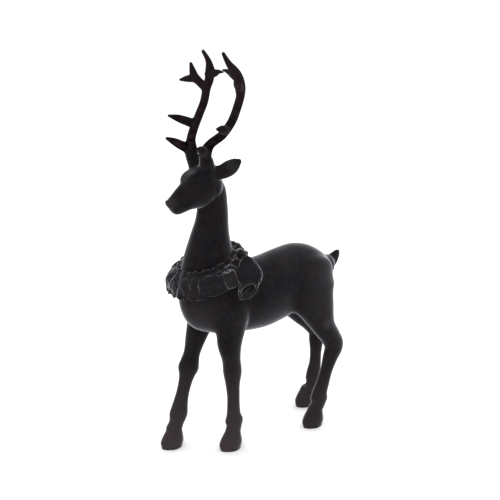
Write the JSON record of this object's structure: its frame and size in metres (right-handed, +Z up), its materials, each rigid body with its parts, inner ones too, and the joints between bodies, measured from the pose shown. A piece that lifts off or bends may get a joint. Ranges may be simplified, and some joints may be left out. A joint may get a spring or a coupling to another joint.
{
  "type": "standing stag figurine",
  "caption": "Standing stag figurine in black velvet flock, head turned aside, with branching antlers, a gathered ruff collar and a bow on the left shoulder.",
  "frame": {"origin": "middle of the underside of the bounding box, on the ground between the hooves", "axes": "+Z up, -Y the way the body faces, +X the stag's left side"},
  "size_m": [0.1291, 0.2454, 0.4483],
  "materials": {
    "black_velvet": "black flocked velvet, deep nap with a soft sheen at the edges",
    "antler_flock": "flock, a shade darker and redder than the body"
  },
  "bodies": {
    "root": {"deer": "black_velvet", "left_antler": "antler_flock", "right_antler": "antler_flock"}
  },
  "joints": []
}
